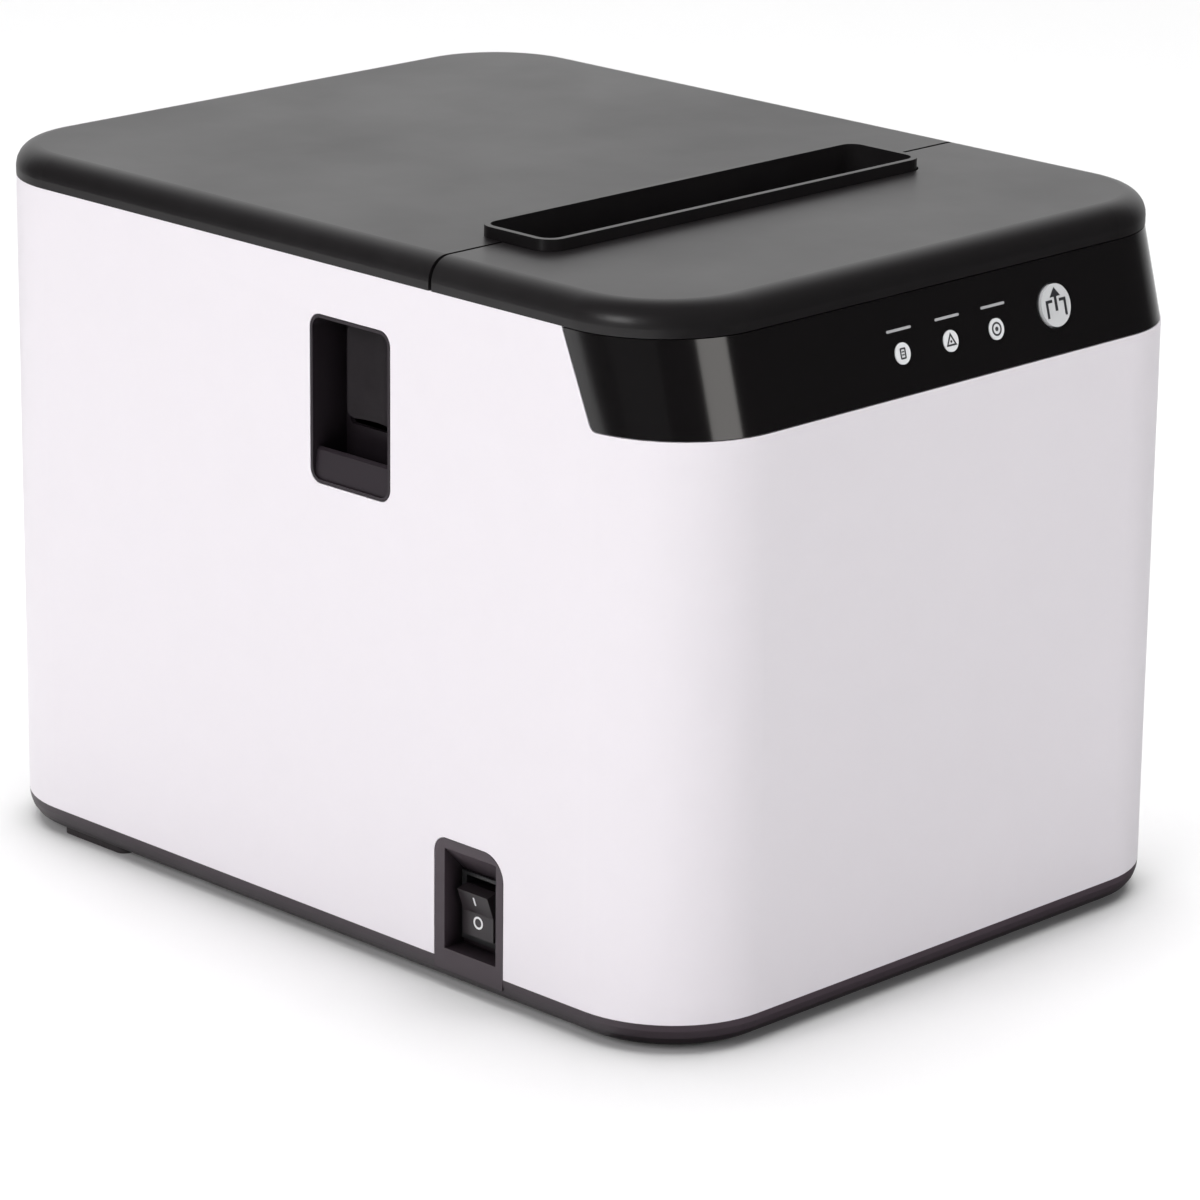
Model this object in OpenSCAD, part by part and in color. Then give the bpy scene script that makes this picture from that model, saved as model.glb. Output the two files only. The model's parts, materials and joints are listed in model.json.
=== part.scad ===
// Receipt printer for 80 mm paper rolls, clamshell type with an automatic cutter.
// Frame: origin on the resting plane under the middle of the body, +Z up, -Y front, millimetres.

/* [Body] */
// overall width over the side walls
body_w = 145; // [143:0.5:147]
// overall length, front face to rear face
body_l = 195; // [194:0.5:197]
// vertical corner radius of the housing
corner_r = 22.2; // [21.5:0.1:22.8]
// wall thickness of the outer shell
shell_t = 2.5; // [2.3:0.1:2.6]
// height of the rubber feet below the base
foot_h = 1.4; // [1.2:0.1:1.6]

/* [Lid] */
// edge radius around the top of the lid and front cover
edge_r = 4.5; // [4.2:0.1:4.6]
// radius of the lid hinge pins
hinge_pin_r = 1.2; // [1.1:0.05:1.2]

/* [Paper path] */
// height of the raised rim around the paper slot
rim_h = 2.2; // [2.0:0.1:3.0]
// platen roller radius
platen_r = 6.5; // [6.4:0.05:6.5]

/* [Hidden] */
$fn = 48;
hw = body_w/2;
hl = body_l/2;
z_base = foot_h;
z_shell = 6.1;
z_front = 115.6;
z_lid = 133.4;
z_top = 139.5;
lean = atan(4.8/17.8);
y_lidf = -hl + 4.8;
seam_y = -34.1;
seam_g = 0.8;
hinge_y = hl - 2.6;
hinge_z = z_lid + 2.6;
rim_cx = -3.3;
rim_cy = -36.5;
rim_hx = 51;
rim_hy = 9.7;
rim_t = 1.2;
plat_y = -24;
plat_z = 118;
m1 = 0.8;
m2 = 0.6;
pa = 25;
n_platen = 18;
n_idler = 30;
n_motor = 14;
idl_d = m1*(n_platen+n_idler)/2;
idl_y = plat_y + 0.1498*idl_d;
idl_z = plat_z - 0.9887*idl_d;
mot_d = m1*(n_idler+n_motor)/2;
mot_a = -96.13;
mot_y = idl_y + mot_d*cos(mot_a);
mot_z = idl_z + mot_d*sin(mot_a);
contact_a = 25;
con_y = plat_y - 6.5*cos(contact_a);
con_z = plat_z - 6.5*sin(contact_a);
cg_x = 54;
cg_y = -58;
n_cg = 40;
n_rack = 14;
n_cm = 12;
cm_d = m2*(n_cg+n_cm)/2;
cm_x = cg_x - 0.6*cm_d;
cm_y = cg_y - 0.8*cm_d;
pivot_y = -15;
pivot_z = 84;
sw_y = -44.1;
sw_z = 16.2;
sw_x = -65.6;

c_white = [0.93, 0.92, 0.94];
c_black = [0.07, 0.07, 0.08];
c_lid = [0.12, 0.12, 0.13];
c_steel = [0.7, 0.71, 0.72];
c_dark = [0.2, 0.2, 0.21];
c_green = [0.05, 0.3, 0.15];

// ---------- helpers ----------
module rr2(hx, hy, r) {
  square([2*(hx-r), 2*hy], center = true);
  square([2*hx, 2*(hy-r)], center = true);
  for (sx = [-1,1], sy = [-1,1]) translate([sx*(hx-r), sy*(hy-r)]) circle(r);
}
module rrp(x0, x1, y0, y1, r) { translate([(x0+x1)/2, (y0+y1)/2]) rr2((x1-x0)/2, (y1-y0)/2, r); }
// side profile in Y,Z drawn along X from x0 to x1
module along_x(x0, x1) { translate([x0,0,0]) rotate([90,0,90]) linear_extrude(x1-x0) children(); }
// front profile in X,Z drawn along Y from y0 to y1
module along_y(y0, y1) { translate([0,y1,0]) rotate([90,0,0]) linear_extrude(y1-y0) children(); }
module cyl_x(x0, x1, y, z, r) { translate([x0,y,z]) rotate([0,90,0]) cylinder(h = x1-x0, r = r); }
module cyl_y(y0, y1, x, z, r) { translate([x,y1,z]) rotate([90,0,0]) cylinder(h = y1-y0, r = r); }
module box(x0, x1, y0, y1, z0, z1) { translate([x0,y0,z0]) cube([x1-x0, y1-y0, z1-z0]); }
module ring_x(x0, x1, y, z, ro, ri) { difference() { cyl_x(x0, x1, y, z, ro); cyl_x(x0-1, x1+1, y, z, ri); } }

// a profile (distance from the corner axis, height) swept round a rounded rectangle, solid inside
module swept(hx, hy, r) {
  for (q = [[1,1,0],[-1,1,90],[-1,-1,180],[1,-1,270]])
    translate([q[0]*(hx-r), q[1]*(hy-r), 0]) rotate([0,0,q[2]]) rotate_extrude(angle = 90) children();
  translate([hx-r, hy-r, 0]) rotate([90,0,0]) linear_extrude(2*(hy-r)) children();
  rotate([0,0,180]) translate([hx-r, hy-r, 0]) rotate([90,0,0]) linear_extrude(2*(hy-r)) children();
  rotate([0,0,90]) translate([hy-r, hx-r, 0]) rotate([90,0,0]) linear_extrude(2*(hx-r)) children();
  rotate([0,0,270]) translate([hy-r, hx-r, 0]) rotate([90,0,0]) linear_extrude(2*(hx-r)) children();
}
module dome(hx, hy, r, h, f) {
  union() {
    swept(hx, hy, r) intersection() {
      square([r, h]);
      union() { square([r-f, h]); square([r, h-f]); translate([r-f, h-f]) circle(f); }
    }
    translate([-(hx-r), -(hy-r), 0]) cube([2*(hx-r), 2*(hy-r), h]);
  }
}

// involute gear outline, tooth number 0 centred on angle a
function invf(x) = tan(x) - x*PI/180;
function half_ang(m, n, r, bl) =
  let(rp = m*n/2, rb = rp*cos(pa), rr = max(r, rb*1.0001))
  (PI/(2*n) - bl/(2*rp) + invf(pa) - invf(acos(rb/rr)))*180/PI;
function gear_pts(m, n, a, bl = 0.14) =
  let(rp = m*n/2, ro = rp + 0.85*m, rf = rp - 1.15*m, rs = [rf, max(rf+0.05, rp-0.55*m), rp-0.1*m, rp+0.4*m, ro])
  [for (k = [0:n-1], s = [0:9])
    let(i = s < 5 ? s : 9-s, sg = s < 5 ? -1 : 1, r = rs[i], t = a + k*360/n + sg*half_ang(m, n, r, bl))
    [r*cos(t), r*sin(t)]];
module gear2(m, n, a) { polygon(gear_pts(m, n, a)); }
function mesh_phase(a1, n1, n2, psi) = psi + 180 - (0.5 - (psi - a1)*n1/360)*360/n2;
// gear turning about X, angle measured in the Y,Z plane
module gear_x(x0, x1, y, z, m, n, a, rbore) {
  translate([x0, y, z]) rotate([90,0,90]) linear_extrude(x1-x0) difference() { gear2(m, n, a); circle(rbore); }
}
idl_psi = atan2(idl_z - plat_z, idl_y - plat_y);
ph_platen = idl_psi;
ph_idler = mesh_phase(ph_platen, n_platen, n_idler, idl_psi);
ph_motor = mesh_phase(ph_idler, n_idler, n_motor, mot_a);
cm_psi = atan2(cm_y - cg_y, cm_x - cg_x);
ph_cm = mesh_phase(0, n_cg, n_cm, cm_psi);

// ---------- housing ----------
post_xy = [[-56,-57], [56,-57], [-54,66], [48,66]];
case_xy = [[-66,-66], [66,-66], [-66,36], [66,36]];
pcb_xy = [[-44,-44], [38,-44], [-44,60], [38,60]];

module tab2(o) {
  // rounded surround of the power switch, in Y,Z
  union() {
    translate([-53.85-o, 0]) square([18.2+2*o, 24.85]);
    translate([-48.85, 0]) square([10.2, 29.85+o]);
    translate([-48.85, 0]) square([13.2+o, 26.85]);
    translate([-48.85, 24.85]) circle(5+o);
    translate([-38.65, 26.85]) circle(3+o);
  }
}
module base_tray() color(c_dark) difference() {
  union() {
    difference() {
      union() {
        swept(hw, hl, corner_r) polygon([[0,z_base],[corner_r-2.6,z_base],[corner_r-1.5,z_base+0.7],[corner_r-0.6,z_base+1.9],[corner_r-0.1,z_base+3.4],[corner_r,z_shell],[0,z_shell]]);
        translate([-(hw-corner_r), -(hl-corner_r), z_base]) cube([2*(hw-corner_r), 2*(hl-corner_r), z_shell-z_base]);
      }
      translate([0,0,z_base+2.5]) linear_extrude(10) rr2(hw-4.4, hl-4.4, corner_r-4.4);
    }
    // locating lip inside the shell
    difference() {
      translate([0,0,z_shell-1]) linear_extrude(4.5) difference() { rr2(hw-2.8, hl-2.8, corner_r-2.8); rr2(hw-4.4, hl-4.4, corner_r-4.4); }
      for (p = case_xy) translate([p[0], p[1], z_shell]) cylinder(h = 10, r = 4.4);
      box(-hw-1, -66, -54.2, -35.3, z_shell, 12);
      box(-54, 48, hl-6, hl+1, z_shell, 12);
    }
    // switch surround
    intersection() { along_x(-hw, -66) tab2(0); box(-hw, -60, -60, -30, z_base+2.5, 40); }
    // posts for the inner frame, stand-offs for the main board
    for (p = post_xy) translate([p[0], p[1], z_base+2]) cylinder(h = 59.9-z_base-2, r = 4);
    for (p = pcb_xy) translate([p[0], p[1], z_base+2]) cylinder(h = 10-z_base-2, r = 3);
    for (p = case_xy) translate([p[0], p[1], z_base+2]) cylinder(h = z_shell-z_base-2, r = 4.2);
  }
  // recess behind the surround
  along_y(-52, -38.3) polygon([[-73,8.1],[-73,28.53],[-67.5,22.7],[-67.5,8.1]]);
  box(-68, -65, sw_y-5.1, sw_y+5.1, 9.8, 22.6);
  for (p = post_xy) translate([p[0], p[1], 44]) cylinder(h = 20, r = 1.5);
  for (p = pcb_xy) translate([p[0], p[1], z_base+3.6]) cylinder(h = 20, r = 1.2);
  for (p = case_xy) { translate([p[0], p[1], z_base-1]) cylinder(h = 10, r = 1.7); translate([p[0], p[1], z_base-1]) cylinder(h = 2.6, r = 3.3); }
  // foot pockets
  for (q = foot_xy) translate([q[0], q[1], z_base-1]) linear_extrude(1.8) rr2(q[2]/2+0.05, q[3]/2+0.05, 2.05);
}
foot_xy = [[-66.2,67,7,19], [66.2,67,7,19], [-54,-80,16,9], [54,-80,16,9]];
module rubber_feet() color([0.05,0.05,0.05]) for (q = foot_xy) translate([q[0], q[1], 0]) linear_extrude(z_base+0.75) rr2(q[2]/2, q[3]/2, 2);
module case_screws() color(c_steel) for (p = case_xy) translate([p[0], p[1], 0]) difference() {
  union() { translate([0,0,z_base+0.2]) cylinder(h = 1.4, r = 3); translate([0,0,z_base+1.6]) cylinder(h = 15, r = 1.45); }
  translate([0,0,z_base-0.3]) linear_extrude(1.2) { square([3.4,0.7], center = true); square([0.7,3.4], center = true); }
}

module panel_cut(o) {
  // region taken by the front panel, in Y,Z; o moves its rear and lower edges in
  polygon([[-101,z_front+o],[-76.6,z_front+o],[-75.7,z_front+0.2+o],[-75.15-o*0.5,z_front+0.75+o*0.8],[-74.75-o,z_front+1.5+o*0.5],[-68.4-o,131.9],[-67.6-o,133.9],[-67.4-o,z_lid+3-o*0],[-101,z_lid+3]]);
}
module knuckle(x0, x1) {
  cyl_x(x0, x1, hinge_y, hinge_z, 2.3);
  box(x0, x1, hinge_y+0.1, hinge_y+2.3, z_lid-3, hinge_z);
}
module outer_shell() color(c_white) difference() {
  union() {
    difference() {
      translate([0,0,z_shell]) linear_extrude(z_lid-z_shell) difference() {
        rr2(hw, hl, corner_r);
        rr2(hw-shell_t, hl-shell_t, corner_r-shell_t);
      }
      along_x(-hw-1, hw+1) panel_cut(0);
    }
    for (p = case_xy) translate([p[0], p[1], z_shell]) cylinder(h = 22, r = 4);
    for (y = [-66,36]) { box(-71, -66, y-1.8, y+1.8, z_shell, z_shell+22); box(66, 71, y-1.8, y+1.8, z_shell, z_shell+22); }
    for (s = [-1,1]) knuckle(s*38-6, s*38+6);
  }
  along_x(-hw-1, -hw+4) rrp(-23.65, -1.8, 91, 123.6, 2.8);
  along_x(-hw-1, -hw+4) tab2(0.15);
  box(-52, 46, hl-4, hl+1, 9, 30);
  for (p = case_xy) translate([p[0], p[1], z_shell-1]) cylinder(h = 17, r = 1.45);
  for (s = [-1,1]) cyl_x(s*38-8, s*38+8, hinge_y, hinge_z, hinge_pin_r);
}
module hinge_pins() color(c_steel) for (s = [-1,1]) cyl_x(s*38-12, s*38+12, hinge_y, hinge_z, hinge_pin_r);

// ---------- front panel ----------
led_x = [-13.25, -0.15, 12.5];
led_s = 7.5/cos(lean);
btn_x = 29.2;
btn_s = 9.0/cos(lean);
module on_panel() { translate([0,-hl,z_front]) rotate([-lean,0,0]) children(); }
module front_panel() color([0.02,0.02,0.02]) difference() {
  intersection() {
    on_panel() translate([0,0,-8]) linear_extrude(40) difference() {
      translate([0,45]) rr2(hw, 45, corner_r);
      translate([0,45]) rr2(hw-2.2, 45-2.2, corner_r-2.2);
    }
    along_x(-hw-1, hw+1) intersection() { panel_cut(0.2); translate([-110,z_front+0.15]) square([120, z_lid-z_front-0.35]); }
  }
  on_panel() {
    for (x = led_x) cyl_y(-1, 4, x, led_s, 2.1);
    cyl_y(-1, 4, btn_x, btn_s, 4.4);
  }
}
module led_lenses() color([0.85,0.86,0.88]) on_panel() for (x = led_x) { cyl_y(-0.15, 2.4, x, led_s, 2); cyl_y(2.4, 7.9, x, led_s, 1.6); }
module feed_button() color([0.8,0.81,0.83]) on_panel() {
  cyl_y(-0.6, 2.6, btn_x, btn_s, 4.05);
  cyl_y(2.55, 3.5, btn_x, btn_s, 5.6);
  cyl_y(3.5, 4.8, btn_x, btn_s, 1.5);
}
module feed_switch() color(c_black) on_panel() { box(btn_x-3, btn_x+3, 5.9, 8.6, btn_s-3, btn_s+3); cyl_y(5.45, 5.9, btn_x, btn_s, 1.7); }
module panel_board() color(c_green) on_panel() difference() {
  box(-22, 40, 8.6, 10.2, 0.5, 16.5);
  for (x = [-19, 37], s = [3, 14]) cyl_y(8, 11, x, s, 1.3);
}

// ---------- top covers ----------
module rim_out() { translate([rim_cx, rim_cy]) rr2(rim_hx, rim_hy, 4); }
module rim_in() { translate([rim_cx, rim_cy]) rr2(rim_hx-rim_t, rim_hy-rim_t, 4-rim_t); }
module skin() {
  translate([0, (hl+y_lidf)/2, z_lid]) difference() {
    dome(hw, (hl-y_lidf)/2, corner_r, z_top-z_lid, edge_r);
    translate([0,0,-0.5]) dome(hw-2.2, (hl-y_lidf)/2-2.2, corner_r-2.2, z_top-z_lid-2.2+0.5, 2.3);
  }
}
module front_cover() color(c_lid) union() {
  difference() {
    intersection() { skin(); box(-100, 100, -120, seam_y-seam_g/2, 120, 150); }
    // notch round the slot rim, which stands on the lid
    translate([rim_cx, rim_cy, 129]) linear_extrude(20) rr2(rim_hx+0.35, rim_hy+0.35, 4.35);
  }
  // locating skirt inside the shell and panel
  intersection() {
    translate([0, 0, 129.6]) linear_extrude(8.2) difference() {
      rrp(-hw+2.75, hw-2.75, y_lidf+2.9, 60, corner_r-2.75);
      rrp(-hw+4.35, hw-4.35, y_lidf+4.5, 58, corner_r-4.35);
    }
    box(-100, 100, -120, seam_y-seam_g/2, 120, 150);
  }
}
module lid_solid() {
  union() {
    difference() {
      intersection() { skin(); box(-100, 100, seam_y+seam_g/2, 120, 120, 150); }
      translate([0,0,129]) linear_extrude(20) rim_in();
    }
    // paper slot rim and chute
    translate([0,0,129.3]) linear_extrude(z_top+rim_h-129.3) difference() { rim_out(); rim_in(); }
    // hinge barrels
    intersection() {
      translate([0, (hl+y_lidf)/2, z_lid]) dome(hw, (hl-y_lidf)/2, corner_r, z_top-z_lid, edge_r);
      for (s = [-1,1]) box(s*38-14, s*38+14, hl-6.2, hl+1, z_lid-1, z_top);
    }
    for (x = [-56, 50], y = [-14, 76]) translate([x, y, 134.1]) cylinder(h = 4, r = 3.2);
  }
}
module lid_cover() color(c_lid) difference() {
  lid_solid();
  // round the rear lower edge about the hinge axis
  difference() {
    box(-hw, hw, hinge_y, hl+2, z_lid-2, hinge_z);
    cyl_x(-hw-1, hw+1, hinge_y, hinge_z, 2.6);
  }
  for (s = [-1,1]) {
    cyl_x(s*38-6.25, s*38+6.25, hinge_y, hinge_z, 2.65);
    box(s*38-6.25, s*38+6.25, hinge_y-2.65, hl+2, z_lid-1, hinge_z);
    box(s*38-6.25, s*38+6.25, hinge_y, hl+2, z_lid-1, z_top+1);
    cyl_x(s*38-12.3, s*38+12.3, hinge_y, hinge_z, hinge_pin_r+0.05);
  }
  for (x = [-56, 50], y = [-14, 76]) translate([x, y, 133]) cylinder(h = 4.5, r = 1.2);
}
module lid_liner() color(c_dark) difference() {
  union() {
    translate([0,0,132.2]) linear_extrude(1.8) rrp(-67.4, 67.4, -26.2, 88.6, 12);
    // arms that carry the platen
    for (x = [[-46.5,-44], [37,39.5]]) {
      box(x[0], x[1], -26.2, -17, plat_z, 132.5);
      cyl_x(x[0], x[1], plat_y, plat_z, 7);
    }
    // bar that carries the fixed blade
    box(-44.5, 37.5, -26.2, -21.5, 127.4, 132.5);
    // stiffening ribs
    for (x = [-30, -3.5, 23]) box(x-0.8, x+0.8, -21.6, 84, 129.4, 132.5);
  }
  for (x = [-50, 30]) cyl_x(x, x+15, plat_y, plat_z, 4);
  for (x = [-56, 50], y = [-14, 76]) translate([x, y, 131]) cylinder(h = 5, r = 1.4);
}
module lid_screws() color(c_steel) for (x = [-56, 50], y = [-14, 76]) translate([x, y, 0]) {
  translate([0,0,130.7]) cylinder(h = 1.5, r = 2.4);
  translate([0,0,132.1]) cylinder(h = 5, r = 1.15);
}

// ---------- release lever ----------
module lever_bezel() color(c_dark) difference() {
  union() {
    along_x(-hw, -63) rrp(-23.5, -1.95, 91.15, 123.45, 2.65);
    along_x(-hw+shell_t, -68.7) rrp(-26.5, 1.0, 88, 126.5, 3);
  }
  difference() {
    along_x(-hw-1, -64) rrp(-22.9, -2.55, 91.75, 122.85, 2.05);
    // shallow ledge across the bottom of the window
    along_y(-30, 5) polygon([[-72.1,80],[-72.1,91.7],[-71.5,97.2],[-70.9,97.7],[-64,94.8],[-63,94.8],[-63,80]]);
  }
  along_x(-65, -60) rrp(-20, -3.6, 101, 120.5, 1);
}
module release_lever() color(c_dark) difference() {
  union() {
    along_x(-57, -54) {
      translate([pivot_y, pivot_z]) circle(5);
      polygon([[-19.6,84],[-10.4,84],[-10.5,104],[-12.5,119],[-14,124.5],[-20.9,124.5],[-20.9,121.6],[-18.9,120.4],[-18.6,104]]);
    }
    cyl_x(-58.4, -57, pivot_y, pivot_z, 4);
    // neck through the bezel and the finger pad
    box(-65.5, -56.5, -17.5, -11, 105, 117.5);
    difference() {
      along_x(-70, -64.6) rrp(-21.9, -7.4, 103.6, 121.6, 1.5);
      translate([-80.8,-13.5,95]) cylinder(h = 40, r = 14, $fn = 96);
    }
  }
  cyl_x(-60, -52, pivot_y, pivot_z, 1.56);
}
module lever_pin() color(c_steel) { cyl_x(-59.6, -49.5, pivot_y, pivot_z, 1.5); cyl_x(-60.8, -59.6, pivot_y, pivot_z, 3); }
module lever_spring() color(c_steel) for (k = [0:2]) translate([-53.2+k*0.75, pivot_y, pivot_z]) rotate([0,90,0]) rotate_extrude($fn = 32) translate([2.5,0]) circle(0.3, $fn = 16);

// ---------- inner frame with paper bucket ----------
module bucket_out() { translate([38,78]) circle(44, $fn = 96); translate([-6,78]) square([88, 48]); }
module bucket_in() { translate([38,78]) circle(42, $fn = 96); translate([-4,78]) square([84, 60]); }
module inner_frame() color(c_black) difference() {
  union() {
    difference() {
      along_x(-46.5, 39.5) bucket_out();
      along_x(-44.5, 37.5) bucket_in();
    }
    box(-62, 62, -62, -2.4, 60, 62);
    box(-62, -46, -4, 80, 60, 62);
    box(39, 56, -4, 80, 60, 62);
    // deck between the bucket mouth and the shell
    translate([0,0,124]) linear_extrude(2) difference() {
      intersection() { rr2(hw-shell_t-0.6, hl-shell_t-0.6, corner_r-shell_t-0.6); translate([-80,2]) square([160, 100]); }
      translate([-45.5,-10]) square([84, 91]);
    }
    box(-46.5, 39.5, -6, -2.4, 62, 66);
    // paper guide between bucket and print head
    box(-43.5, 36.5, -18.5, -5, 102.5, 104);
    box(-43.5, 36.5, -18.5, -17.3, 101.2, 104);
  }
  // low front wall so the paper can leave the bucket
  box(-44.5, 37.5, -10, 6, 104, 130);
  for (p = post_xy) translate([p[0], p[1], 50]) cylinder(h = 30, r = 1.7);
}
module frame_screws() color(c_steel) for (p = post_xy) translate([p[0], p[1], 0]) {
  translate([0,0,62]) cylinder(h = 1.8, r = 3);
  translate([0,0,47]) cylinder(h = 15.2, r = 1.45);
}

// ---------- print mechanism ----------
module plate_slot() { translate([plat_y, plat_z]) circle(3.3); polygon([[-27.3,118],[-20.7,118],[-20.7,124],[-28.9,124]]); }
module left_side_plate() color(c_steel) difference() {
  union() {
    along_x(-51, -49.5) polygon([[-60,62.1],[-16,62.1],[-9.6,78],[-9.6,90],[-16,104],[-16,120.5],[-18,122.5],[-60,122.5]]);
    box(-49.6, -42, -60, -48, 62.1, 63.5);
  }
  along_x(-55, -48) plate_slot();
  cyl_x(-55, -45, hp_y, hp_z, 1.5);
  cyl_x(-55, -45, pivot_y, pivot_z, 1.5);
}
hp_y = con_y - 3.3*cos(contact_a) + 14*sin(contact_a);
hp_z = con_z - 3.3*sin(contact_a) - 14*cos(contact_a);
module right_side_plate() color(c_steel) difference() {
  union() {
    along_x(42, 43.5) polygon([[-60,62.1],[-12,62.1],[-9.6,66],[-9.6,90],[-14,106],[-16,120.5],[-18,122.5],[-60,122.5]]);
    box(34.5, 42.1, -60, -48, 62.1, 63.5);
  }
  along_x(40, 45) plate_slot();
  cyl_x(40, 46, hp_y, hp_z, 1.5);
  cyl_x(40, 46, idl_y, idl_z, 2);
  cyl_x(40, 46, mot_y, mot_z, 5);
  along_x(40, 46) ears(1.6);
}
module tie_bar() color(c_steel) { box(-49.5, 42, -46, -44.8, 98, 118); box(-49.5, 42, -50, -46, 98, 99.2); }
module head_pivot_pin() color(c_steel) cyl_x(-51.4, 43.8, hp_y, hp_z, 1.5);
module head_springs() color(c_steel) for (x = [-28, 14]) along_x(x, x+8)
  polygon([[-44.8,101],[-44.3,101],[-44.3,109.4],[-35.3,112.2],[-35.5,112.7],[-44.8,109.9]]);
module on_head() { translate([0, con_y, con_z]) rotate([contact_a,0,0]) children(); }
module head_heatsink() color([0.75,0.76,0.78]) on_head() along_x(-43.2, 36.2) difference() {
  union() {
    translate([-5.2,-14]) square([4, 19.5]);
    translate([-3.3,-14]) circle(2.8);
  }
  translate([-3.3,-14]) circle(1.56);
}
module print_head() color([0.35,0.33,0.3]) on_head() { box(-43, 36, -1.2, -0.5, -8, 5); box(-38, 31, -0.55, -0.3, -1.5, 1.5); }
module idler_stud() color(c_steel) { cyl_x(42.2, 49.4, idl_y, idl_z, 2); cyl_x(49.0, 49.8, idl_y, idl_z, 3.4); cyl_x(43.5, 44.2, idl_y, idl_z, 3.2); }
module idler_gear() color([0.9,0.88,0.8]) gear_x(44.5, 48.5, idl_y, idl_z, m1, n_idler, ph_idler, 2.06);
module ears(rr) { translate([mot_y, mot_z]) for (a = [180,120]) rotate(a) translate([21,0]) circle(rr); }
module feed_motor() color(c_steel) difference() {
  union() {
    cyl_x(20, 40.8, mot_y, mot_z, 16);
    along_x(40.8, 42) difference() {
      union() {
        translate([mot_y, mot_z]) circle(16);
        ears(3.5);
        translate([mot_y, mot_z]) for (a = [180,120]) rotate(a) translate([13,-3.5]) square([8,7]);
      }
      ears(1.6);
    }
    cyl_x(42, 43.6, mot_y, mot_z, 4.9);
  }
  cyl_x(30, 45, mot_y, mot_z, 1.56);
}
cms = [[5.2,-3.9],[-3.9,-5.2]];
module motor_screws() color(c_steel) {
  along_x(39.2, 40.8) ears(2.6);
  along_x(40.7, 43.5) ears(1.5);
  for (q = cms) translate([cm_x+q[0], cm_y+q[1], 0]) { translate([0,0,124]) cylinder(h = 1.1, r = 1.8); translate([0,0,119.5]) cylinder(h = 4.6, r = 1); }
}
module feed_motor_shaft() color(c_steel) cyl_x(31, 49, mot_y, mot_z, 1.5);
module feed_motor_pinion() color([0.8,0.65,0.3]) gear_x(44.5, 48.5, mot_y, mot_z, m1, n_motor, ph_motor, 1.5);

// ---------- cutter ----------
module cutter_frame() color(c_steel) difference() {
  union() {
    translate([0,0,122.5]) linear_extrude(1.5) union() { rrp(-51, 50, -82, -40, 2); rrp(30, 62, -76, -44, 2); }
    box(-51, -47.4, -80, -42, 123.9, 129);
  }
  translate([cg_x, cg_y, 120]) cylinder(h = 6, r = 2);
  translate([cm_x, cm_y, 120]) cylinder(h = 6, r = 4);
  for (q = cms) translate([cm_x+q[0], cm_y+q[1], 120]) cylinder(h = 6, r = 1.1);
}
module cutter_gear_post() color(c_steel) translate([cg_x, cg_y, 0]) {
  translate([0,0,122.6]) cylinder(h = 6.8, r = 2);
  translate([0,0,129]) cylinder(h = 0.8, r = 3.4);
}
module cutter_gear() color([0.9,0.88,0.8]) translate([cg_x, cg_y, 124.4]) difference() {
  union() { linear_extrude(1.7) gear2(m2, n_cg, 0); linear_extrude(4.3) gear2(m1, n_rack, 0); }
  translate([0,0,-1]) cylinder(h = 8, r = 2.06);
}
module cutter_motor() color(c_steel) difference() {
  union() {
    translate([cm_x, cm_y, 94]) cylinder(h = 28.4, r = 9);
    translate([cm_x, cm_y, 122.4]) cylinder(h = 1.5, r = 3.9);
  }
  translate([cm_x, cm_y, 108]) cylinder(h = 20, r = 1.06);
  for (q = cms) translate([cm_x+q[0], cm_y+q[1], 119]) cylinder(h = 5, r = 1.06);
}
module cutter_motor_shaft() color(c_steel) translate([cm_x, cm_y, 109]) cylinder(h = 17.6, r = 1);
module cutter_motor_pinion() color([0.8,0.65,0.3]) translate([cm_x, cm_y, 124.4]) linear_extrude(2) difference() { gear2(m2, n_cm, ph_cm); circle(1); }
rack_p = PI*m1;
function rack_pts() =
  let(x0 = cg_x - m1*n_rack/2, ad = 0.85*m1, de = 1.15*m1, hp = rack_p/4 - 0.07)
  [for (k = [-5:4], q = [[-de, -(hp + de*tan(pa))], [ad, -(hp - ad*tan(pa))], [ad, hp - ad*tan(pa)], [-de, hp + de*tan(pa)]])
    [x0 + q[0], cg_y - 0 + (k+0.5)*rack_p + q[1]]];
module blade_carrier() color(c_dark) union() {
  box(-46.8, 39.8, -72, -50, 124.3, 127.4);
  translate([0,0,126.6]) linear_extrude(1.9) polygon(concat([[39, cg_y-14.5], [cg_x-m1*n_rack/2-1.15*m1, cg_y-14.5]], rack_pts(), [[cg_x-m1*n_rack/2-1.15*m1, cg_y+13], [39, cg_y+13]]));
}
module moving_blade() color([0.82,0.83,0.84]) difference() {
  box(-46, 38.6, -68, -41, 127.6, 128.4);
  for (x = [-38, 30]) translate([x,-58,120]) cylinder(h = 10, r = 1.6);
}
module fixed_blade() color([0.82,0.83,0.84]) box(-43.8, 36.8, -33.4, -22, 126.5, 127.35);

// ---------- platen ----------
module platen_bushes() color([0.9,0.88,0.8]) {
  ring_x(-46.5, -44, plat_y, plat_z, 4, 2.56);
  ring_x(-47.3, -46.5, plat_y, plat_z, 5.2, 2.56);
  ring_x(37, 39.5, plat_y, plat_z, 4, 2.56);
  ring_x(39.5, 40.3, plat_y, plat_z, 5.2, 2.56);
}
module platen_shaft() color(c_steel) cyl_x(-57.5, 50.4, plat_y, plat_z, 2.5);
module platen_roller() color([0.1,0.1,0.1]) ring_x(-43.4, 36.4, plat_y, plat_z, platen_r, 2.5);
module platen_gear() color([0.9,0.88,0.8]) gear_x(44.5, 48.5, plat_y, plat_z, m1, n_platen, ph_platen, 2.5);
module platen_clips() color(c_steel) for (x = [-48.2, 40.6, 48.8]) ring_x(x, x+0.6, plat_y, plat_z, 4, 2.5);

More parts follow.
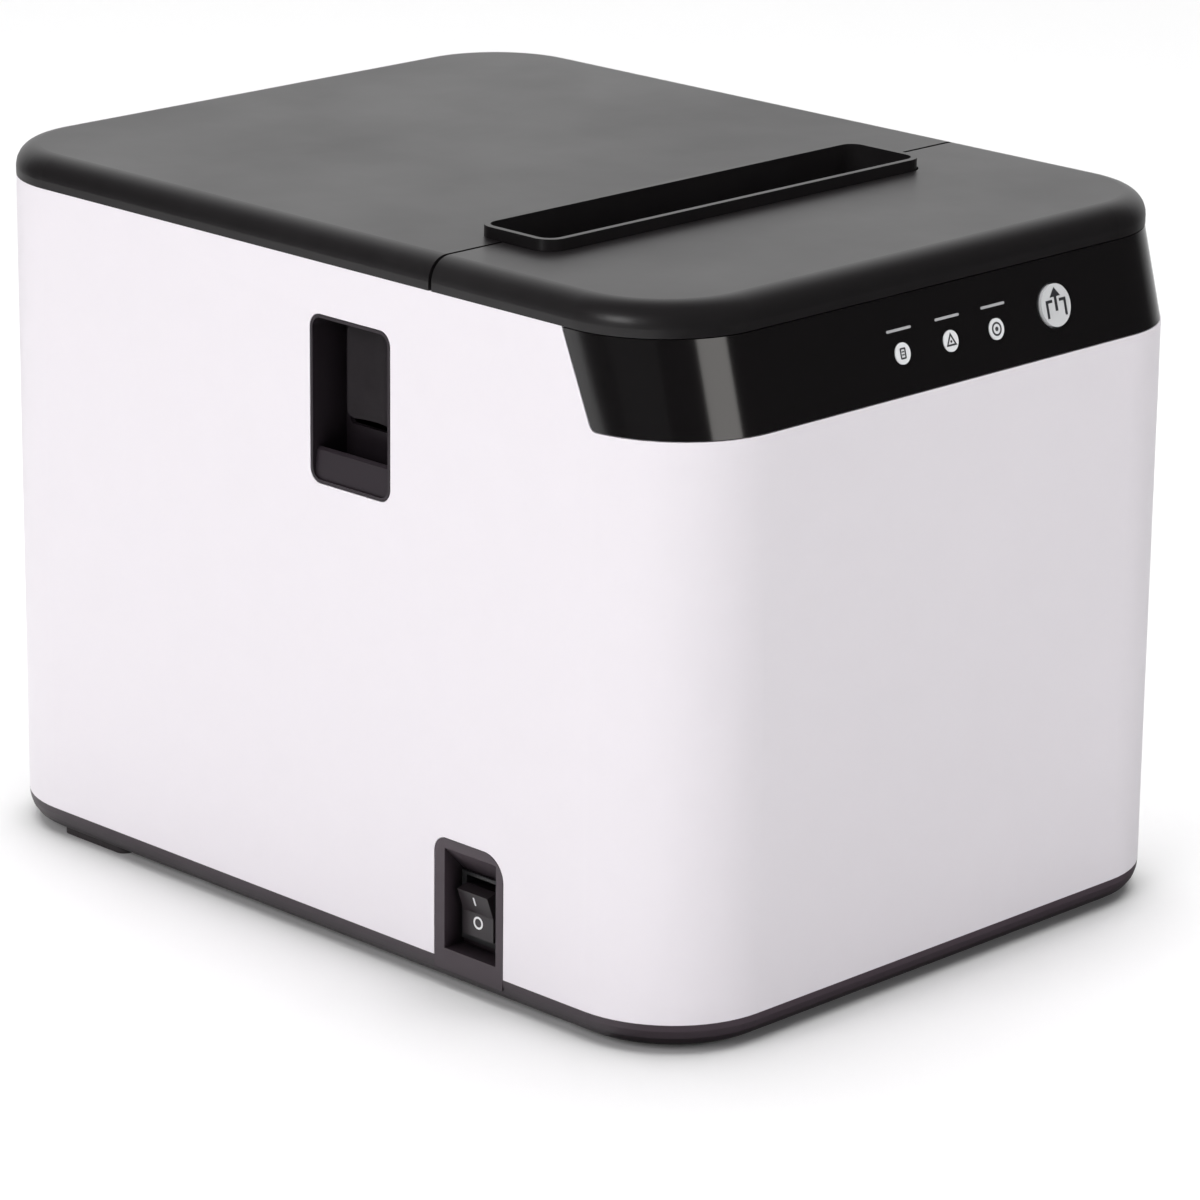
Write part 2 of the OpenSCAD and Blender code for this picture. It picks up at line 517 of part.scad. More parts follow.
// ---------- sensor, electronics ----------
module paper_sensor() color(c_black) box(-7, -1, -15, -9, 104.05, 106.2);
module main_board() color(c_green) difference() {
  box(-48, 42, -50, 90, 10, 11.6);
  for (p = pcb_xy) translate([p[0], p[1], 5]) cylinder(h = 10, r = 1.4);
}
module board_screws() color(c_steel) for (p = pcb_xy) translate([p[0], p[1], 0]) {
  translate([0,0,11.6]) cylinder(h = 1.4, r = 2.4);
  translate([0,0,5.2]) cylinder(h = 6.6, r = 1.15);
}
module board_capacitors() color([0.12,0.13,0.2]) for (p = [[-38,20,5,12], [-25,24,4,10], [30,10,5,12], [32,-20,4,10]]) translate([p[0], p[1], 11.6]) cylinder(h = p[3], r = p[2]);
module board_chips() color(c_black) { box(-10, 6, -20, -4, 11.6, 13.2); box(12, 22, -30, -22, 11.6, 13); box(-34, -24, -30, -20, 11.6, 13); }
module power_jack() color(c_black) {
  difference() {
    box(-46.5, -35.5, 83, 97.2, 11.6, 22.6);
    cyl_y(86, 98, -41, 17.1, 4.3);
  }
  cyl_y(85.5, 92.4, -41, 17.1, 1.2);
}
module usb_socket() color(c_steel) {
  difference() { box(-28, -16, 81, 97.2, 11.6, 22.4); box(-26.6, -17.4, 86, 98, 12.8, 21.2); }
  box(-24.4, -19.6, 85, 92.4, 15.4, 18.4);
}
module network_socket() color(c_steel) difference() {
  box(-8, 8, 76, 97.2, 11.6, 25.2);
  union() { box(-6, 6, 83, 98, 15.4, 23.6); box(-3.2, 3.2, 83, 98, 13.4, 15.5); }
}
module drawer_socket() color(c_black) difference() {
  box(18, 31, 79, 97.2, 11.6, 24.6);
  union() { box(19.6, 29.4, 85, 98, 15.4, 22.8); box(22, 27, 85, 98, 13.4, 15.5); }
}
module port_plate() color(c_dark) difference() {
  union() { box(-51.8, 45.8, 94.9, 96.5, 9.2, 29.8); box(-50.2, 47.4, hl-shell_t-1.2, hl-shell_t, 8, 31); }
  box(-46.8, -35.2, 90, 100, 8, 22.9);
  box(-28.3, -15.7, 90, 100, 8, 22.7);
  box(-8.3, 8.3, 90, 100, 8, 25.5);
  box(17.7, 31.3, 90, 100, 8, 24.9);
}

// ---------- power switch ----------
module switch_housing() color(c_black) {
  difference() {
    union() { box(-68.2, -67.55, sw_y-5.6, sw_y+5.6, 9.2, 22.65); box(-68.1, -56, sw_y-5, sw_y+5, 9.9, 22.5); }
    box(-69, -60, sw_y-4.3, sw_y+4.3, 10.4, 22);
    cyl_y(sw_y-6, sw_y+6, sw_x, sw_z, 1.05);
  }
  for (z = [12, 16.2, 20.4]) box(-56.1, -51, sw_y-2.4, sw_y+2.4, z-0.4, z+0.4);
}
module power_rocker() color(c_black) translate([sw_x, sw_y, sw_z]) rotate([0,-10,0]) union() {
  along_y(-4, 4) polygon([[3,-2.2],[-2,-4.8],[-4.6,-4.7],[-3.8,0],[-4.6,4.7],[-2,4.8],[3,2.2]]);
  cyl_y(-4.9, 4.9, 0, 0, 1);
}

base_tray();
rubber_feet();
case_screws();
outer_shell();
front_panel();
led_lenses();
panel_board();
feed_switch();
feed_button();
front_cover();
lever_bezel();
release_lever();
lever_pin();
lever_spring();
inner_frame();
frame_screws();
left_side_plate();
right_side_plate();
tie_bar();
head_pivot_pin();
head_springs();
head_heatsink();
print_head();
idler_stud();
idler_gear();
feed_motor();
motor_screws();
feed_motor_shaft();
feed_motor_pinion();
cutter_frame();
cutter_gear_post();
cutter_gear();
cutter_motor();
cutter_motor_shaft();
cutter_motor_pinion();
blade_carrier();
moving_blade();
paper_sensor();
main_board();
board_screws();
board_capacitors();
board_chips();
power_jack();
usb_socket();
network_socket();
drawer_socket();
port_plate();
switch_housing();
power_rocker();
hinge_pins();
lid_cover();
lid_liner();
lid_screws();
fixed_blade();
platen_bushes();
platen_shaft();
platen_roller();
platen_gear();
platen_clips();
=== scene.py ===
import json, math
import bpy, bmesh
from mathutils import Vector, Matrix


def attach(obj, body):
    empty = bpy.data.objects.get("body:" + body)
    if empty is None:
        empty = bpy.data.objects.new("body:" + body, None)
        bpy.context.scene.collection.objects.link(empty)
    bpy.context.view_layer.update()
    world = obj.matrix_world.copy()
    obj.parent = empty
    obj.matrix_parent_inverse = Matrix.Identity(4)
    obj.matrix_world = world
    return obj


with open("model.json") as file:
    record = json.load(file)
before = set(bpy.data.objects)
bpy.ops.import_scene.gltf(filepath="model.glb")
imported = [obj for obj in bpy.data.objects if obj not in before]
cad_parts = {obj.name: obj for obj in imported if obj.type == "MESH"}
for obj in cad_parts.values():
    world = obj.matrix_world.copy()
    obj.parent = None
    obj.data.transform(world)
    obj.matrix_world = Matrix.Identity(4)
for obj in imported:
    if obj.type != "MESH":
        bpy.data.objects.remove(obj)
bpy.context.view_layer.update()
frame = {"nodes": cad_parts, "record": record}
N = frame["nodes"]
rec = frame["record"]


# ---------------------------------------------------------------- materials
def srgb(*c):
    return tuple(((v / 255) / 12.92 if v <= 10 else ((v / 255 + 0.055) / 1.055) ** 2.4) for v in c)


def new_mat(name):
    m = bpy.data.materials.new(name)
    m.use_nodes = True
    nt = m.node_tree
    for n in list(nt.nodes):
        nt.nodes.remove(n)
    out = nt.nodes.new("ShaderNodeOutputMaterial")
    b = nt.nodes.new("ShaderNodeBsdfPrincipled")
    nt.links.new(b.outputs[0], out.inputs[0])
    return m, nt, b


def plastic(name, col, rough=0.4, grain=2600, grain_bump=0.25, grain_dist=0.00002, var=0.04,
            rough_var=0.08, spec=0.5, coat=0.0, cloud=18, metal=0.0, scuff=0.0, scuff_col=None, painted_recess_shade=0.0):
    """Moulded plastic: fine spark texture, slow colour and gloss variation, light rub marks on edges, and optional
    painted shade that darkens the colour in recesses, corners and between parts.
    """
    m, nt, b = new_mat(name)
    L = nt.links.new
    tc = nt.nodes.new("ShaderNodeTexCoord")
    slow = nt.nodes.new("ShaderNodeTexNoise"); slow.inputs["Scale"].default_value = cloud
    slow.inputs["Detail"].default_value = 5; slow.inputs["Roughness"].default_value = 0.55
    fine = nt.nodes.new("ShaderNodeTexNoise"); fine.inputs["Scale"].default_value = grain
    fine.inputs["Detail"].default_value = 2
    L(tc.outputs["Object"], slow.inputs["Vector"]); L(tc.outputs["Object"], fine.inputs["Vector"])
    ramp = nt.nodes.new("ShaderNodeMixRGB"); ramp.blend_type = "MIX"
    c = Vector(col[:3])
    lo = [max(0, v * (1 - var)) for v in c]; hi = [min(1, v * (1 + var)) for v in c]
    ramp.inputs[1].default_value = (*lo, 1); ramp.inputs[2].default_value = (*hi, 1)
    L(slow.outputs["Fac"], ramp.inputs[0])
    last = ramp.outputs[0]
    if scuff:
        geo = nt.nodes.new("ShaderNodeNewGeometry")
        mr = nt.nodes.new("ShaderNodeMapRange")
        mr.inputs["From Min"].default_value = 0.52; mr.inputs["From Max"].default_value = 0.62
        mr.inputs["To Min"].default_value = 0; mr.inputs["To Max"].default_value = scuff
        L(geo.outputs["Pointiness"], mr.inputs["Value"])
        br = nt.nodes.new("ShaderNodeTexNoise"); br.inputs["Scale"].default_value = 160; br.inputs["Detail"].default_value = 4
        L(tc.outputs["Object"], br.inputs["Vector"])
        mul = nt.nodes.new("ShaderNodeMath"); mul.operation = "MULTIPLY"
        L(mr.outputs[0], mul.inputs[0]); L(br.outputs["Fac"], mul.inputs[1])
        mx = nt.nodes.new("ShaderNodeMixRGB")
        sc = scuff_col or [min(1, v * 1.6 + 0.03) for v in c]
        mx.inputs[2].default_value = (*sc, 1)
        L(mul.outputs[0], mx.inputs[0]); L(last, mx.inputs[1])
        last = mx.outputs[0]
    # painted shade: an ambient occlusion node darkens the base colour in recesses, creases and gaps between parts
    if painted_recess_shade:
        ao = nt.nodes.new("ShaderNodeAmbientOcclusion"); ao.samples = 8
        ao.inputs["Distance"].default_value = 0.012
        dk = nt.nodes.new("ShaderNodeMapRange")
        dk.inputs["From Min"].default_value = 0.25; dk.inputs["From Max"].default_value = 0.85
        dk.inputs["To Min"].default_value = 1 - painted_recess_shade; dk.inputs["To Max"].default_value = 1
        L(ao.outputs["AO"], dk.inputs["Value"])
        mc = nt.nodes.new("ShaderNodeMixRGB"); mc.blend_type = "MULTIPLY"; mc.inputs[0].default_value = 1
        L(last, mc.inputs[1]); L(dk.outputs[0], mc.inputs[2])
        last = mc.outputs[0]
        b.inputs["Specular IOR Level"].default_value = spec
    L(last, b.inputs["Base Color"])
    rr = nt.nodes.new("ShaderNodeMapRange")
    rr.inputs["To Min"].default_value = max(0.02, rough - rough_var); rr.inputs["To Max"].default_value = rough + rough_var
    rr.inputs["From Min"].default_value = 0.3; rr.inputs["From Max"].default_value = 0.7
    L(slow.outputs["Fac"], rr.inputs["Value"]); L(rr.outputs[0], b.inputs["Roughness"])
    bump = nt.nodes.new("ShaderNodeBump"); bump.inputs["Strength"].default_value = grain_bump
    bump.inputs["Distance"].default_value = grain_dist
    L(fine.outputs["Fac"], bump.inputs["Height"]); L(bump.outputs[0], b.inputs["Normal"])
    b.inputs["Specular IOR Level"].default_value = spec
    b.inputs["Coat Weight"].default_value = coat
    b.inputs["Coat Roughness"].default_value = 0.04
    b.inputs["Metallic"].default_value = metal
    return m


def metal(name, col, rough=0.3, brush=(1, 60, 60), scale=30, bump=0.15, var=0.08, rough_var=0.1):
    """Brushed or turned metal: stretched noise along one axis in colour, gloss and height."""
    m, nt, b = new_mat(name)
    L = nt.links.new
    tc = nt.nodes.new("ShaderNodeTexCoord"); mp = nt.nodes.new("ShaderNodeMapping")
    mp.inputs["Scale"].default_value = brush
    nz = nt.nodes.new("ShaderNodeTexNoise"); nz.inputs["Scale"].default_value = scale; nz.inputs["Detail"].default_value = 6
    L(tc.outputs["Object"], mp.inputs[0]); L(mp.outputs[0], nz.inputs["Vector"])
    mx = nt.nodes.new("ShaderNodeMixRGB")
    mx.inputs[1].default_value = (*[v * (1 - var) for v in col], 1); mx.inputs[2].default_value = (*[min(1, v * (1 + var)) for v in col], 1)
    L(nz.outputs["Fac"], mx.inputs[0]); L(mx.outputs[0], b.inputs["Base Color"])
    rr = nt.nodes.new("ShaderNodeMapRange"); rr.inputs["To Min"].default_value = max(0.05, rough - rough_var); rr.inputs["To Max"].default_value = rough + rough_var
    L(nz.outputs["Fac"], rr.inputs["Value"]); L(rr.outputs[0], b.inputs["Roughness"])
    bp = nt.nodes.new("ShaderNodeBump"); bp.inputs["Strength"].default_value = bump; bp.inputs["Distance"].default_value = 0.00003
    L(nz.outputs["Fac"], bp.inputs["Height"]); L(bp.outputs[0], b.inputs["Normal"])
    b.inputs["Metallic"].default_value = 1.0
    return m


def board(name):
    m, nt, b = new_mat(name)
    L = nt.links.new
    tc = nt.nodes.new("ShaderNodeTexCoord")
    br = nt.nodes.new("ShaderNodeTexVoronoi"); br.inputs["Scale"].default_value = 180; br.feature = "DISTANCE_TO_EDGE"
    L(tc.outputs["Object"], br.inputs["Vector"])
    mr = nt.nodes.new("ShaderNodeMapRange"); mr.inputs["From Max"].default_value = 0.06
    L(br.outputs["Distance"], mr.inputs["Value"])
    mx = nt.nodes.new("ShaderNodeMixRGB"); mx.inputs[1].default_value = (0.03, 0.24, 0.1, 1); mx.inputs[2].default_value = (0.01, 0.11, 0.045, 1)
    L(mr.outputs[0], mx.inputs[0]); L(mx.outputs[0], b.inputs["Base Color"])
    b.inputs["Roughness"].default_value = 0.35
    bp = nt.nodes.new("ShaderNodeBump"); bp.inputs["Strength"].default_value = 0.3; bp.inputs["Distance"].default_value = 0.00005
    L(mr.outputs[0], bp.inputs["Height"]); L(bp.outputs[0], b.inputs["Normal"])
    return m


M = {
    "white_plastic": plastic("white_plastic", (0.842, 0.806, 0.846), 0.42, var=0.012, rough_var=0.05, grain_bump=0.18, scuff=0.12, scuff_col=(0.7, 0.68, 0.7)),
    # dark_plastic, bezel_plastic and lever_plastic carry painted shade in their recesses (ambient occlusion darkening
    # of the colour)
    "dark_plastic": plastic("dark_plastic", srgb(62, 53, 59), 0.5, var=0.06, scuff=0.3, painted_recess_shade=0.85),
    "bezel_plastic": plastic("bezel_plastic", srgb(46, 40, 45), 0.42, spec=0.25, var=0.06, scuff=0.2, painted_recess_shade=0.6),
    "lid_plastic": plastic("lid_plastic", srgb(25, 23, 24), 0.36, grain=2200, grain_bump=0.3, var=0.06, rough_var=0.04, spec=0.5, scuff=0.25),
    "gloss_panel": plastic("gloss_panel", (0.0045, 0.0038, 0.0041), 0.12, grain=60, grain_bump=0.02, var=0.1, rough_var=0.02, spec=0.6),
    "inner_plastic": plastic("inner_plastic", (0.03, 0.03, 0.032), 0.5, var=0.1, scuff=0.3),
    "lever_plastic": plastic("lever_plastic", srgb(31, 27, 30), 0.4, spec=0.1, painted_recess_shade=0.5, var=0.06, rough_var=0.06, scuff=0.3),
    "silver_button": plastic("silver_button", (0.86, 0.87, 0.88), 0.26, var=0.02, metal=0.25, grain_bump=0.06, coat=0.3),
    "lens": plastic("lens", (0.86, 0.87, 0.88), 0.28, var=0.02, grain_bump=0.05, spec=0.6, coat=0.3),
    "foot_rubber": plastic("foot_rubber", (0.04, 0.035, 0.037), 0.75, grain=1500, grain_bump=0.5, var=0.2),
    "roller_rubber": plastic("roller_rubber", (0.035, 0.035, 0.036), 0.6, grain=3000, grain_bump=0.4, var=0.15),
    "zinc_screw": metal("zinc_screw", (0.62, 0.62, 0.64), 0.3),
    "sheet_steel": metal("sheet_steel", (0.56, 0.57, 0.58), 0.34, brush=(60, 1, 1)),
    "ground_steel": metal("ground_steel", (0.66, 0.66, 0.67), 0.2, brush=(200, 1, 1)),
    "spring_steel": metal("spring_steel", (0.5, 0.5, 0.52), 0.25),
    "blade_steel": metal("blade_steel", (0.62, 0.63, 0.65), 0.25, brush=(80, 1, 80)),
    "motor_can": metal("motor_can", (0.52, 0.53, 0.54), 0.32),
    "head_aluminium": metal("head_aluminium", (0.72, 0.73, 0.74), 0.35, brush=(1, 40, 40)),
    "head_ceramic": plastic("head_ceramic", (0.3, 0.26, 0.22), 0.15, var=0.1, grain_bump=0.05, coat=0.5),
    "gear_plastic": plastic("gear_plastic", (0.8, 0.77, 0.68), 0.42, var=0.03),
    "pinion_brass": metal("pinion_brass", (0.8, 0.6, 0.28), 0.28),
    "circuit_board": board("circuit_board"),
    "chip_plastic": plastic("chip_plastic", (0.025, 0.025, 0.026), 0.5, var=0.15),
    "capacitor_sleeve": plastic("capacitor_sleeve", (0.02, 0.025, 0.08), 0.25, var=0.1, coat=0.3),
    "socket_black": plastic("socket_black", (0.013, 0.013, 0.014), 0.42, var=0.12, scuff=0.2),
    "socket_steel": metal("socket_steel", (0.62, 0.62, 0.63), 0.28),
    "rocker_plastic": plastic("rocker_plastic", srgb(42, 37, 40), 0.34, var=0.05, rough_var=0.05),
    "mark_dark": plastic("mark_dark", (0.03, 0.03, 0.035), 0.45, var=0.1),
    "mark_white": plastic("mark_white", (0.85, 0.85, 0.85), 0.45, var=0.02),
    "mark_grey": plastic("mark_grey", (0.45, 0.45, 0.46), 0.45, var=0.04),
}
slot_of = {s["node"]: s["material_slot"] for s in rec["subparts"]}
for name, o in N.items():
    m = M[slot_of[name]]
    o.data.materials.clear()
    o.data.materials.append(m)

# small rolled edges on the moulded and stamped parts
EDGE = {"outer_shell": 0.00035, "base_tray": 0.00035, "front_cover": 0.00045, "lid_cover": 0.00045, "front_panel": 0.00035,
        "lever_bezel": 0.0003, "release_lever": 0.0005, "feed_button": 0.00035, "led_lenses": 0.00015, "port_plate": 0.0003,
        "power_rocker": 0.0004, "switch_housing": 0.0002, "rubber_feet": 0.0005, "inner_frame": 0.0004, "lid_liner": 0.0004,
        "power_jack": 0.0003, "usb_socket": 0.0002, "network_socket": 0.0002, "drawer_socket": 0.0003, "fixed_blade": 0.0001,
        "moving_blade": 0.0001, "head_heatsink": 0.0003, "blade_carrier": 0.0002, "main_board": 0.0001}
for name, w in EDGE.items():
    if name in N:
        bv = N[name].modifiers.new("rolled edges", "BEVEL")
        bv.width = w
        bv.segments = 2
        bv.limit_method = "ANGLE"
        bv.angle_limit = math.radians(35)
        bv.harden_normals = False
        bv.use_clamp_overlap = True


# ---------------------------------------------------------------- printed marks
hl = 0.0975
lean = math.atan(4.8 / 17.8)
PANEL = Matrix.Translation((0, -hl, 0.1156)) @ Matrix.Rotation(-lean, 4, "X")


def flat_piece(name, polys, thick, place, mat, body):
    """Thin raised marks from lists of closed outlines [(outer, [holes])], drawn in local X and Z, front face towards -Y."""
    bm = bmesh.new()
    for outer, holes in polys:
        if holes:
            hole = holes[0]
            n = len(outer)
            fo = [bm.verts.new((x, 0, z)) for x, z in outer]
            fi = [bm.verts.new((x, 0, z)) for x, z in hole]
            for i in range(n):
                j = (i + 1) % n
                bm.faces.new((fo[i], fo[j], fi[j], fi[i]))
        else:
            bm.faces.new([bm.verts.new((x, 0, z)) for x, z in outer])
    bmesh.ops.recalc_face_normals(bm, faces=bm.faces)
    for f in bm.faces:
        if f.normal.y > 0:
            f.normal_flip()
    ret = bmesh.ops.extrude_face_region(bm, geom=list(bm.faces))
    vs = [g for g in ret["geom"] if isinstance(g, bmesh.types.BMVert)]
    bmesh.ops.translate(bm, verts=vs, vec=(0, -thick, 0))
    bmesh.ops.recalc_face_normals(bm, faces=bm.faces)
    me = bpy.data.meshes.new(name)
    bm.to_mesh(me); bm.free()
    me.transform(place)
    o = bpy.data.objects.new(name, me)
    bpy.context.scene.collection.objects.link(o)
    me.materials.append(mat)
    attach(o, body)
    return o


def circ(cx, cz, r, n=40, a0=0, a1=360):
    return [(cx + r * math.cos(math.radians(a0 + (a1 - a0) * i / n)), cz + r * math.sin(math.radians(a0 + (a1 - a0) * i / n))) for i in range(n)]


def ringp(cx, cz, r, w, n=40):
    return (circ(cx, cz, r, n), [circ(cx, cz, r - w, n)])


def barp(cx, cz, w, h, r=None):
    r = min(w, h) * 0.5 * 0.98 if r is None else r
    pts = []
    for sx, sz, a in ((1, 1, 0), (-1, 1, 90), (-1, -1, 180), (1, -1, 270)):
        for k in range(7):
            t = math.radians(a + 15 * k)
            pts.append((cx + sx * (w / 2 - r) + r * math.cos(t), cz + sz * (h / 2 - r) + r * math.sin(t)))
    return (pts, [])


mm = 0.001
led_s = 7.5 / math.cos(lean) * mm
led_x = [-13.25 * mm, -0.15 * mm, 12.5 * mm]
face = 0.15 * mm
P = PANEL @ Matrix.Translation((0, -face, 0))
# paper sheet, triangle with a dot, ring with a dot
x = led_x[0]
flat_piece("mark_paper", [(barp(x, led_s, 1.5 * mm, 2.1 * mm, 0.25 * mm)[0], [barp(x, led_s, 0.9 * mm, 1.5 * mm, 0.1 * mm)[0]]),
                          barp(x, led_s + 0.3 * mm, 0.7 * mm, 0.22 * mm), barp(x, led_s - 0.25 * mm, 0.7 * mm, 0.22 * mm)], 0.04 * mm, P, M["mark_dark"], "housing")
x = led_x[1]
tri = lambda r: [(x + r * math.cos(math.radians(90 + 120 * k)), led_s - 0.1 * mm + r * math.sin(math.radians(90 + 120 * k))) for k in range(3)]
flat_piece("mark_alert", [(tri(1.65 * mm), [tri(1.0 * mm)]), (circ(x, led_s - 0.1 * mm, 0.25 * mm, 16), [])], 0.04 * mm, P, M["mark_dark"], "housing")
x = led_x[2]
flat_piece("mark_power", [ringp(x, led_s, 1.3 * mm, 0.35 * mm), (circ(x, led_s, 0.42 * mm, 20), [])], 0.04 * mm, P, M["mark_dark"], "housing")
# plain index dashes above the lenses
P2 = PANEL
flat_piece("panel_dashes", [barp(lx, led_s + 4.4 * mm, 6.6 * mm, 0.5 * mm) for lx in led_x], 0.03 * mm, P2, M["mark_grey"], "housing")
# feed symbol: an arrow rising out of a tray
bx_, bs = 29.2 * mm, 9.0 / math.cos(lean) * mm
B = PANEL @ Matrix.Translation((0, -0.6 * mm, 0))
bs += 0.25 * mm
k = 1.02 * mm
arrow = [(bx_ + k * p, bs + k * q) for p, q in ((-0.35, -1.3), (0.35, -1.3), (0.35, 1.35), (1.45, 1.35), (0, 3.1), (-1.45, 1.35), (-0.35, 1.35))]
tray_l = [(bx_ + k * p, bs + k * q) for p, q in ((-2.75, -2.4), (-2.15, -2.4), (-2.15, 0.35), (-0.95, 0.35), (-0.95, 0.9), (-2.75, 0.9))]
tray_r = [(2 * bx_ - a, b) for a, b in reversed(tray_l)]
flat_piece("mark_feed", [(arrow, []), (tray_l, []), (tray_r, [])], 0.04 * mm, B, M["mark_dark"], "button")
# on and off marks of the rocker, on its two faces
sx, sy, sz = -65.6 * mm, -44.1 * mm, 16.2 * mm
R = Matrix.Translation((sx, sy, sz)) @ Matrix.Rotation(math.radians(-10), 4, "Y")
slope = math.atan(0.8 / 4.7)


def rocker_face(sign):
    # local X along the body's -Y, local Z up the face, local -Y out of the face
    out = Vector((-math.cos(slope), 0, -sign * -math.sin(slope))) if sign > 0 else Vector((-math.cos(slope), 0, -math.sin(slope)))
    up = Vector((-sign * math.sin(slope) * 1.0, 0, math.cos(slope)))
    # face runs from (-2.2, 0) to (-3.0, sign*4.7)
    up = Vector((-0.8 * sign, 0, 4.7)).normalized() if sign > 0 else Vector((0.8, 0, 4.7)).normalized()
    xax = Vector((0, -1, 0))
    yax = up.cross(xax)  # points into the body
    if yax.x < 0:
        yax = -yax
        xax = -xax
    o = Vector((-3.8 - 0.4, 0, sign * 2.35)) * mm
    return R @ Matrix.Translation(o) @ Matrix((( xax.x, yax.x, up.x, 0), (xax.y, yax.y, up.y, 0), (xax.z, yax.z, up.z, 0), (0, 0, 0, 1)))


flat_piece("mark_on", [barp(0, 0.5 * mm, 0.42 * mm, 1.9 * mm)], 0.05 * mm, rocker_face(1), M["mark_white"], "rocker")
flat_piece("mark_off", [ringp(0, 0.6 * mm, 1.25 * mm, 0.4 * mm)], 0.05 * mm, rocker_face(-1), M["mark_white"], "rocker")

# ---------------------------------------------------------------- studio
sc = bpy.context.scene
fm = plastic("floor_paper", (0.88, 0.88, 0.88), 0.7, grain=900, grain_bump=0.05, var=0.004, rough_var=0.03, spec=0.2)


far = plastic("floor_far", (0.88, 0.88, 0.88), 0.7, grain=900, grain_bump=0.05, var=0.004, rough_var=0.03, spec=0.2)
ft = far.node_tree
shade = next(n for n in ft.nodes if n.type == "BSDF_PRINCIPLED")
where = ft.nodes.new("ShaderNodeTexCoord"); dist = ft.nodes.new("ShaderNodeVectorMath"); dist.operation = "LENGTH"
lift = ft.nodes.new("ShaderNodeMapRange"); lift.interpolation_type = "SMOOTHSTEP"
lift.inputs["From Min"].default_value = 0.8; lift.inputs["From Max"].default_value = 2.6
lift.inputs["To Min"].default_value = 0.0; lift.inputs["To Max"].default_value = 1.0
ft.links.new(where.outputs["Object"], dist.inputs[0]); ft.links.new(dist.outputs["Value"], lift.inputs["Value"])
ft.links.new(lift.outputs[0], shade.inputs["Emission Strength"])
shade.inputs["Emission Color"].default_value = (1, 1, 1, 1)
wall_m = plastic("backdrop_paper", (0.88, 0.88, 0.88), 0.7, grain=900, grain_bump=0.05, var=0.004, rough_var=0.03, spec=0.2)
wall_s = next(n for n in wall_m.node_tree.nodes if n.type == "BSDF_PRINCIPLED")
wall_s.inputs["Emission Color"].default_value = (1, 1, 1, 1)
wall_s.inputs["Emission Strength"].default_value = 1.0


def floor_part(name, r0, r1, a0=0, a1=360, shiny=True):
    seg = max(12, int((a1 - a0) / 3.75))
    full = a1 - a0 == 360
    ang = [math.radians(a0 + (a1 - a0) * k / seg) for k in range(seg if full else seg + 1)]
    me = bpy.data.meshes.new(name)
    bm = bmesh.new()
    outer = [bm.verts.new((r1 * math.cos(t), r1 * math.sin(t), 0)) for t in ang]
    if r0:
        inner = [bm.verts.new((r0 * math.cos(t), r0 * math.sin(t), 0)) for t in ang]
        for k in range(seg):
            j = (k + 1) % len(ang)
            bm.faces.new((outer[k], outer[j], inner[j], inner[k]))
    else:
        bm.faces.new([bm.verts.new((0, 0, 0))] + outer)
    bm.to_mesh(me); bm.free()
    o = bpy.data.objects.new(name, me)
    sc.collection.objects.link(o)
    me.materials.append(fm)
    o.visible_glossy = shiny
    return o


floor_part("floor_left", 0, 0.62, 90, 228)
floor_part("floor_front", 0, 0.62, 228, 450, False)
wide = floor_part("floor_wide", 0.62, 6.0, shiny=False)
wide.data.materials[0] = far

# tall round backdrop, seen by the camera only
me = bpy.data.meshes.new("backdrop")
bm = bmesh.new()
lo = [bm.verts.new((6.0 * math.cos(2 * math.pi * k / 96), 6.0 * math.sin(2 * math.pi * k / 96), 0)) for k in range(96)]
hi = [bm.verts.new((v.co.x, v.co.y, 5.0)) for v in lo]
for k in range(96):
    bm.faces.new((lo[k], hi[k], hi[(k + 1) % 96], lo[(k + 1) % 96]))
bm.to_mesh(me); bm.free()
wall = bpy.data.objects.new("backdrop", me)
sc.collection.objects.link(wall)
me.materials.append(wall_m)
wall.visible_diffuse = wall.visible_glossy = wall.visible_shadow = wall.visible_transmission = False


def area(name, loc, target, size, size_y, power, color=(1, 1, 1), glossy=True):
    ld = bpy.data.lights.new(name, "AREA")
    ld.shape = "RECTANGLE"; ld.size = size; ld.size_y = size_y; ld.energy = power; ld.color = color
    o = bpy.data.objects.new(name, ld)
    o.location = loc
    d = Vector(target) - Vector(loc)
    o.rotation_euler = d.to_track_quat("-Z", "Y").to_euler()
    o.visible_glossy = glossy
    sc.collection.objects.link(o)
    return o


area("key_left", (-1.88, -0.1, 1.0), (0, 0, 0.06), 1.5, 1.2, 21, (1, 0.985, 1), glossy=False)
area("top_soft", (0.14, 0.14, 2.1), (0.1, 0.1, 0.05), 2.4, 2.4, 57, glossy=False)
area("front_fill", (0.35, -2.0, 0.75), (0, 0, 0.05), 1.3, 1.0, 8.3, (0.99, 0.98, 1), glossy=False)
strip = area("front_strip", (-0.06, -1.28, 0.33), (-0.058, -0.09, 0.12), 0.64, 0.7, 3.9, (1, 0.97, 0.94))
strip.visible_diffuse = False
only_panel = bpy.data.collections.new("panel_only")
only_panel.objects.link(N["front_panel"])
strip.light_linking.receiver_collection = only_panel
glow = area("panel_glow", (-1.36, -0.42, 0.33), (-0.058, -0.09, 0.12), 1.2, 0.7, 0.2)
glow.visible_diffuse = False
glow.light_linking.receiver_collection = only_panel
kick = area("corner_kick", (-1.35, -0.16, 0.62), (-0.07, -0.08, 0.136), 0.5, 0.35, 4.5)
kick.visible_diffuse = False
only_cover = bpy.data.collections.new("cover_only")
only_cover.objects.link(N["front_cover"])
kick.light_linking.receiver_collection = only_cover

